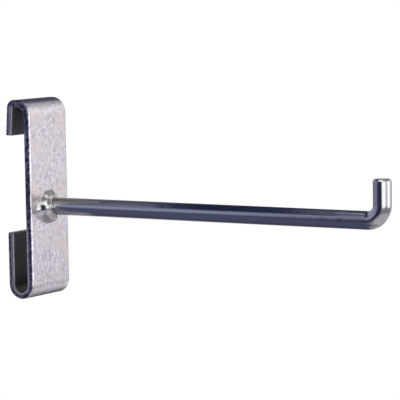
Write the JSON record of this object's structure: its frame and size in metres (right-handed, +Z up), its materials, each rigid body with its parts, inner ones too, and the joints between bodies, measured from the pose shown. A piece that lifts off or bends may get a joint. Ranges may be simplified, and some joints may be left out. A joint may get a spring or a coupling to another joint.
{
  "type": "grid panel hook",
  "caption": "Chrome-plated hook for a wire grid panel: a folded flat strap that catches the panel's wires and a round rod with an upturned tip for hanging goods.",
  "frame": {"origin": "on the strap's rear face, where the line of the rod's axis meets it", "axes": "+X along the rod and away from the panel, +Y across the strap, +Z up"},
  "size_m": [0.158, 0.0244, 0.0762],
  "materials": {
    "strap_chrome": "satin chrome plating over tumbled flat steel bar, finely mottled",
    "rod_chrome": "bright chrome plating over drawn round steel bar",
    "weld_chrome": "bright chrome plating over a lumpy weld, a little warmer in tone"
  },
  "bodies": {
    "root": {"mounting_strap": "strap_chrome", "hook_rod": "rod_chrome", "weld_bead": "weld_chrome"}
  },
  "joints": []
}
